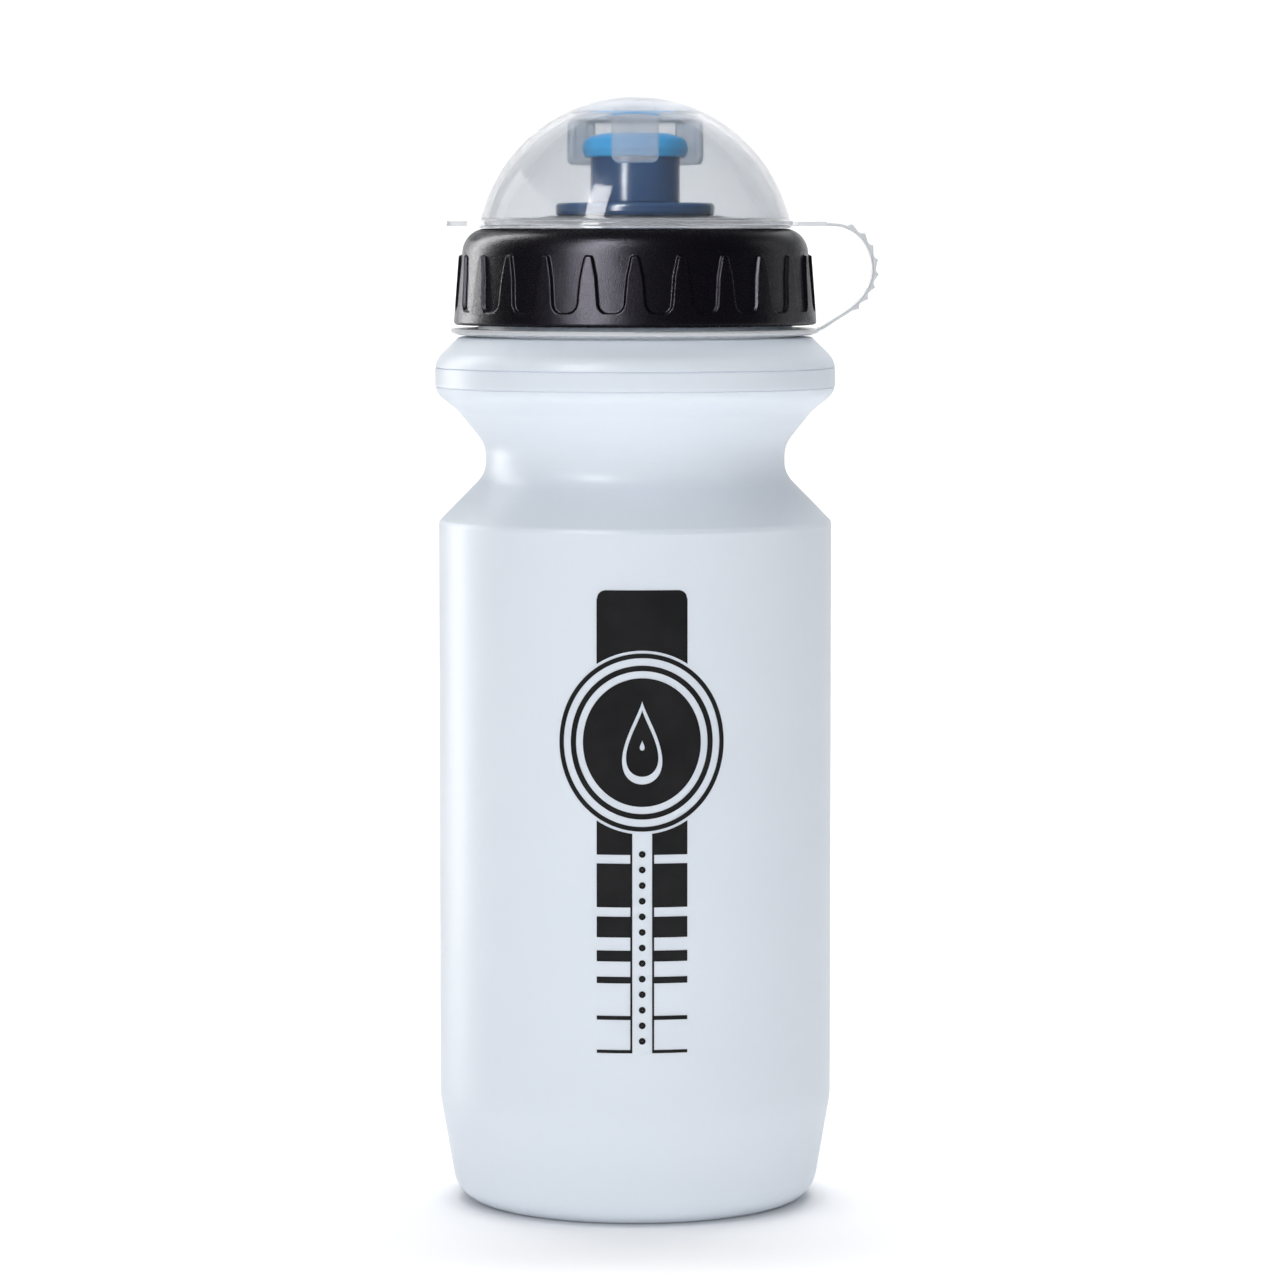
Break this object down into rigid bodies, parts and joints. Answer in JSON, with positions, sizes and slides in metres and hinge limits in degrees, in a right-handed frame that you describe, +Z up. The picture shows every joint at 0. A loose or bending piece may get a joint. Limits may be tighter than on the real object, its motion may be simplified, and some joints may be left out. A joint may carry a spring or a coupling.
{
  "type": "bicycle water bottle",
  "caption": "Squeeze bottle for a bicycle cage, with a ribbed screw cap, a push-pull drinking valve and a clear domed dust cap on a tether.",
  "frame": {"origin": "centre of the foot, on the surface the bottle stands on", "axes": "+Z up along the bottle's axis, -Y towards the printed front, +X towards the tether strap"},
  "size_m": [0.083, 0.0748, 0.2069],
  "materials": {
    "bottle_plastic": "frosted translucent low-density polyethylene, softly glossy",
    "cap_plastic": "satin black polypropylene with a fine grain",
    "seal_rubber": "soft pale silicone",
    "valve_plastic": "glossy dark grey plastic",
    "mouth_plastic": "soft blue thermoplastic rubber",
    "clear_plastic": "clear, slightly hazy polypropylene"
  },
  "bodies": {
    "bottle": {"bottle_body": "bottle_plastic"},
    "cap_carrier": {"cap_gasket": "seal_rubber"},
    "cap": {"screw_cap": "cap_plastic", "spout_base": "valve_plastic", "stopper_pin": "valve_plastic", "stem_o_ring": "seal_rubber"},
    "valve": {"valve_sleeve": "valve_plastic", "mouthpiece": "mouth_plastic"},
    "ring": {"tether_ring": "clear_plastic"},
    "strap": {"tether_strap": "clear_plastic"},
    "dome": {"dust_cap": "clear_plastic"}
  },
  "joints": [
    {"name": "cap_rise", "type": "slide", "parent": "bottle", "child": "cap_carrier", "axis": [0, 0, 1], "range_m": [0, 0.00875]},
    {"name": "cap_turn", "type": "hinge", "parent": "cap_carrier", "child": "cap", "pos_m": [0, 0, 0.175], "axis": [0, 0, 1], "range_deg": [0, 630]},
    {"name": "valve_pull", "type": "slide", "parent": "cap", "child": "valve", "axis": [0, 0, 1], "range_m": [0, 0.004]},
    {"name": "tether_swivel", "type": "hinge", "parent": "cap_carrier", "child": "ring", "pos_m": [0, 0, 0.1632], "axis": [0, 0, 1], "continuous": true},
    {"name": "strap_lean", "type": "hinge", "parent": "ring", "child": "strap", "pos_m": [0.0346, 0, 0.1636], "axis": [0, 1, 0], "range_deg": [0, 28]},
    {"name": "dust_cap_flip", "type": "hinge", "parent": "strap", "child": "dome", "pos_m": [0.037, 0, 0.1832], "axis": [0, 1, 0], "range_deg": [0, 140]}
  ],
  "couplings": [
    {"joint": "cap_rise", "follows": "cap_turn", "m_per_rad": 0.00079577},
    {"joint": "strap_lean", "follows": "dust_cap_flip", "ratio": 0.2}
  ]
}
